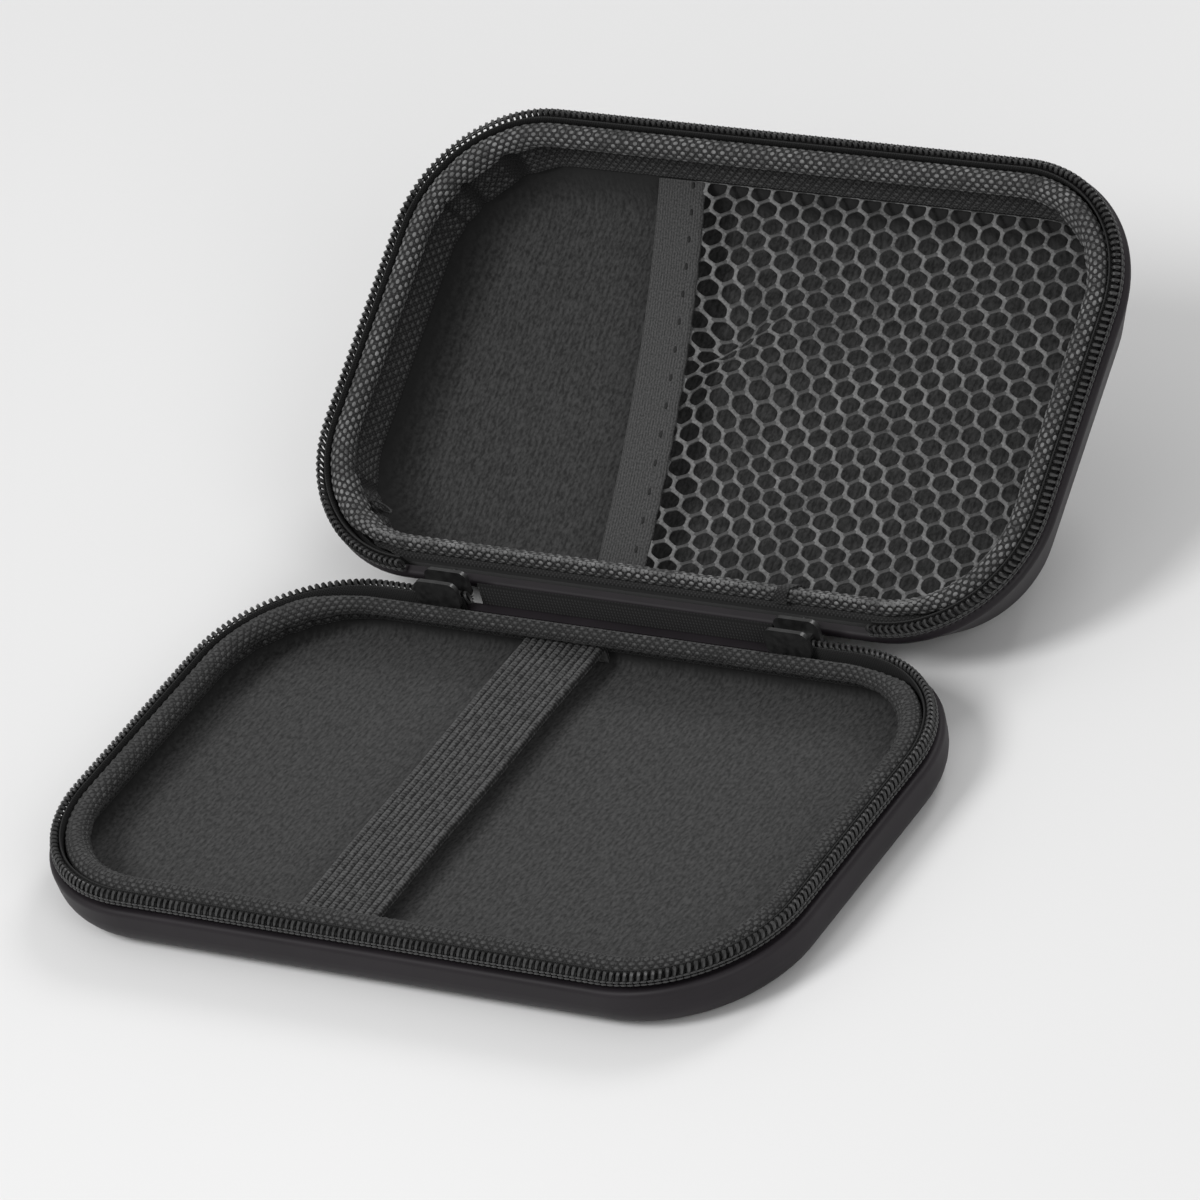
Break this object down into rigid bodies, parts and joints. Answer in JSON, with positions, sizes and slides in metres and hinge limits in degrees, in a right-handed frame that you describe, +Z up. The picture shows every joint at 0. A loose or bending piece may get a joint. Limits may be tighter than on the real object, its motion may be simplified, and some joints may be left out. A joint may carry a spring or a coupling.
{
  "type": "console carrying case",
  "caption": "Zip-round moulded foam case for a handheld console, open, with an elastic holding strap in the base and a net pocket in the lid.",
  "frame": {"origin": "on the table, under the middle of the base's flat bottom", "axes": "+X along the case's length, +Y towards the hinge, +Z up"},
  "size_m": [0.1858, 0.2125, 0.0683],
  "materials": {
    "shell_skin": "smooth dull skin on moulded foam",
    "lining_cloth": "soft knit",
    "binding_tape": "woven tape with raised dots",
    "zip_tape": "woven",
    "zip_coil": "nylon coil",
    "elastic": "ribbed elastic",
    "net": "open knitted net",
    "pocket_tape": "woven tape",
    "hinge_cloth": "plain weave",
    "slider_metal": "dark enamel"
  },
  "bodies": {
    "base": {"base_shell": "shell_skin", "base_lining": "lining_cloth", "base_binding": "binding_tape", "base_zip_tape": "zip_tape", "base_zip_coil": "zip_coil", "holding_strap": "elastic", "hinge_cloth": "hinge_cloth"},
    "lid": {"lid_shell": "shell_skin", "lid_lining": "lining_cloth", "lid_binding": "binding_tape", "lid_zip_tape": "zip_tape", "lid_zip_coil": "zip_coil", "pocket_net": "net", "pocket_band": "pocket_tape"},
    "left_slider": {"left_slider": "slider_metal"},
    "left_pull": {"left_pull": "slider_metal"},
    "right_slider": {"right_slider": "slider_metal"},
    "right_pull": {"right_pull": "slider_metal"}
  },
  "joints": [
    {"name": "lid_hinge", "type": "hinge", "parent": "base", "child": "lid", "pos_m": [0, 0.0564, 0.015], "axis": [1, 0, 0], "range_deg": [-8, 150.8], "deforming": ["hinge_cloth"]},
    {"name": "left_slider_travel", "type": "slide", "parent": "base", "child": "left_slider", "axis": [-1, 0, 0], "range_m": [0, 0.009]},
    {"name": "left_pull_swing", "type": "hinge", "parent": "left_slider", "child": "left_pull", "pos_m": [-0.0445, 0.05795, 0.015], "axis": [0, 1, 0], "range_deg": [-35, 35]},
    {"name": "right_slider_travel", "type": "slide", "parent": "base", "child": "right_slider", "axis": [1, 0, 0], "range_m": [0, 0.009]},
    {"name": "right_pull_swing", "type": "hinge", "parent": "right_slider", "child": "right_pull", "pos_m": [0.0445, 0.05795, 0.015], "axis": [0, 1, 0], "range_deg": [-35, 35]}
  ]
}
